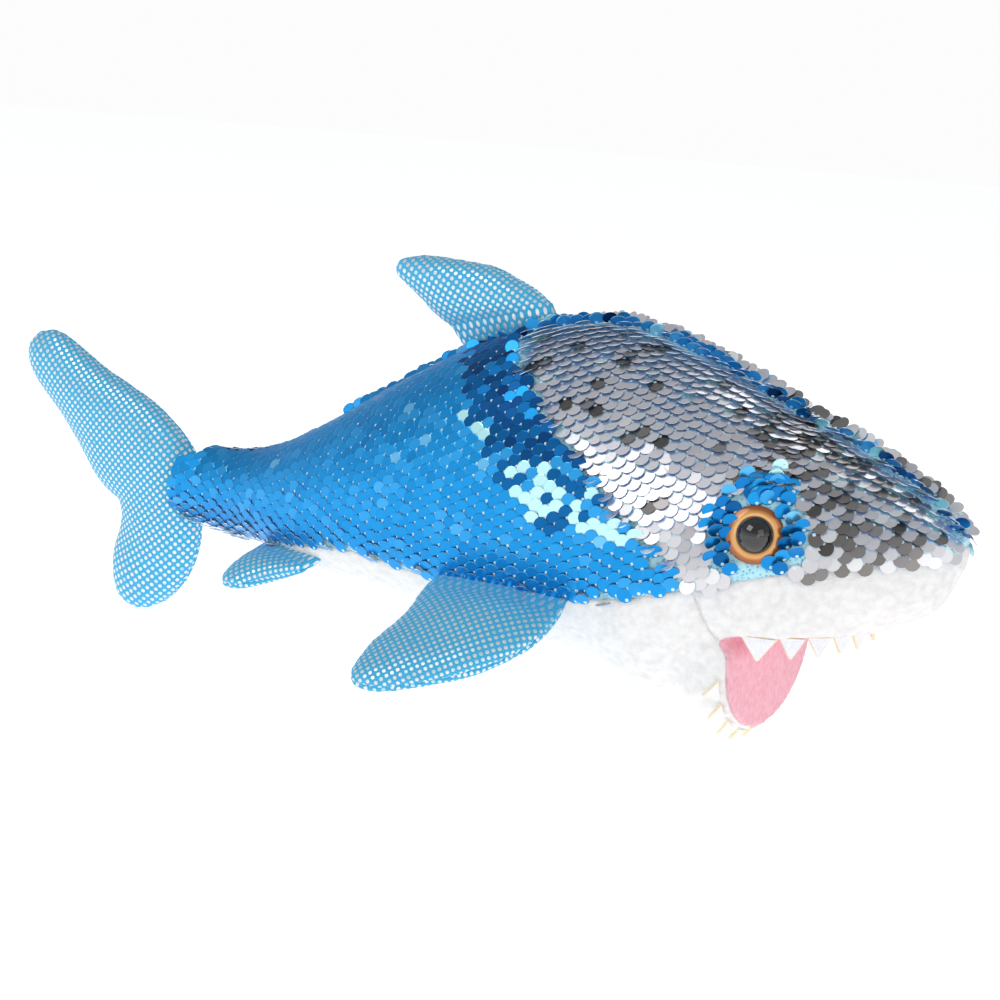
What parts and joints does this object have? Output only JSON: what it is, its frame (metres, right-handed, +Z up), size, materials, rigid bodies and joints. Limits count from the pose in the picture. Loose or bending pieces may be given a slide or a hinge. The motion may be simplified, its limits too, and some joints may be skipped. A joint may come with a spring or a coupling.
{
  "type": "plush shark",
  "caption": "Stuffed toy shark with two-colour flip-sequin sides, a white plush belly, foil-dot fins and an open, felt-toothed mouth.",
  "frame": {"origin": "middle of the box's footprint, on the plane that the lower teeth and the tail fin stand on", "axes": "+X towards the nose, +Y towards the shark's left side, +Z up"},
  "size_m": [0.3639, 0.183, 0.143],
  "materials": {
    "flip_sequins": "5 mm reversible film sequins, blue on one face and silver on the other, on net",
    "white_plush": "short white pile",
    "foil_dot_cloth": "cyan knit with pressed silver foil dots",
    "pink_knit": "brushed pink knit",
    "white_felt": "cut felt",
    "fibre_fill": "loose polyester fibre",
    "amber_plastic": "moulded, brown rim and gold ring",
    "black_plastic": "moulded gloss dome",
    "washer_plastic": "moulded"
  },
  "bodies": {
    "body": {"body_stuffing": "fibre_fill", "sequin_panel_left": "flip_sequins", "sequin_panel_right": "flip_sequins", "belly_panel": "white_plush", "lip_band": "white_plush", "palate_lining": "pink_knit", "upper_teeth": "white_felt", "left_eye_iris": "amber_plastic", "left_eye_pupil": "black_plastic", "left_eye_washer": "washer_plastic", "right_eye_iris": "amber_plastic", "right_eye_pupil": "black_plastic", "right_eye_washer": "washer_plastic"},
    "jaw": {"jaw_stuffing": "fibre_fill", "jaw_plush": "white_plush", "jaw_lining": "pink_knit", "lower_teeth": "white_felt"},
    "caudal_fin": {"caudal_fin_right": "foil_dot_cloth", "caudal_fin_left": "foil_dot_cloth", "caudal_fin_stuffing": "fibre_fill"},
    "dorsal_fin": {"dorsal_fin_right": "foil_dot_cloth", "dorsal_fin_left": "foil_dot_cloth", "dorsal_fin_stuffing": "fibre_fill"},
    "left_pectoral_fin": {"left_pectoral_fin_top": "foil_dot_cloth", "left_pectoral_fin_underside": "foil_dot_cloth", "left_pectoral_fin_stuffing": "fibre_fill"},
    "left_pelvic_fin": {"left_pelvic_fin_top": "foil_dot_cloth", "left_pelvic_fin_underside": "foil_dot_cloth", "left_pelvic_fin_stuffing": "fibre_fill"},
    "right_pectoral_fin": {"right_pectoral_fin_top": "foil_dot_cloth", "right_pectoral_fin_underside": "foil_dot_cloth", "right_pectoral_fin_stuffing": "fibre_fill"},
    "right_pelvic_fin": {"right_pelvic_fin_top": "foil_dot_cloth", "right_pelvic_fin_underside": "foil_dot_cloth", "right_pelvic_fin_stuffing": "fibre_fill"}
  },
  "joints": [
    {"name": "jaw_fold", "type": "hinge", "parent": "body", "child": "jaw", "pos_m": [0.1155, 0, 0.033], "axis": [0, -1, 0], "range_deg": [-8, 50], "stiffness_Nm_per_rad": 0.25},
    {"name": "caudal_fin_swing", "type": "hinge", "parent": "body", "child": "caudal_fin", "pos_m": [-0.106, 0, 0.05], "axis": [0, 0, 1], "range_deg": [-25, 25], "stiffness_Nm_per_rad": 0.08},
    {"name": "dorsal_fin_lean", "type": "hinge", "parent": "body", "child": "dorsal_fin", "pos_m": [0.01954, 0, 0.12463], "axis": [0.9511, 0, 0.309], "range_deg": [-30, 30], "stiffness_Nm_per_rad": 0.03},
    {"name": "left_pectoral_flap", "type": "hinge", "parent": "body", "child": "left_pectoral_fin", "pos_m": [0.0486, 0.05027, 0.04341], "axis": [1, 0, 0], "range_deg": [-25, 35], "stiffness_Nm_per_rad": 0.05},
    {"name": "left_pelvic_flap", "type": "hinge", "parent": "body", "child": "left_pelvic_fin", "pos_m": [-0.04447, 0.02941, 0.03745], "axis": [0.9336, 0.3584, 0], "range_deg": [-20, 30], "stiffness_Nm_per_rad": 0.01},
    {"name": "right_pectoral_flap", "type": "hinge", "parent": "body", "child": "right_pectoral_fin", "pos_m": [0.0486, -0.05027, 0.04341], "axis": [-1, 0, 0], "range_deg": [-25, 35], "stiffness_Nm_per_rad": 0.05},
    {"name": "right_pelvic_flap", "type": "hinge", "parent": "body", "child": "right_pelvic_fin", "pos_m": [-0.04447, -0.02941, 0.03745], "axis": [-0.9336, 0.3584, 0], "range_deg": [-20, 30], "stiffness_Nm_per_rad": 0.01}
  ]
}
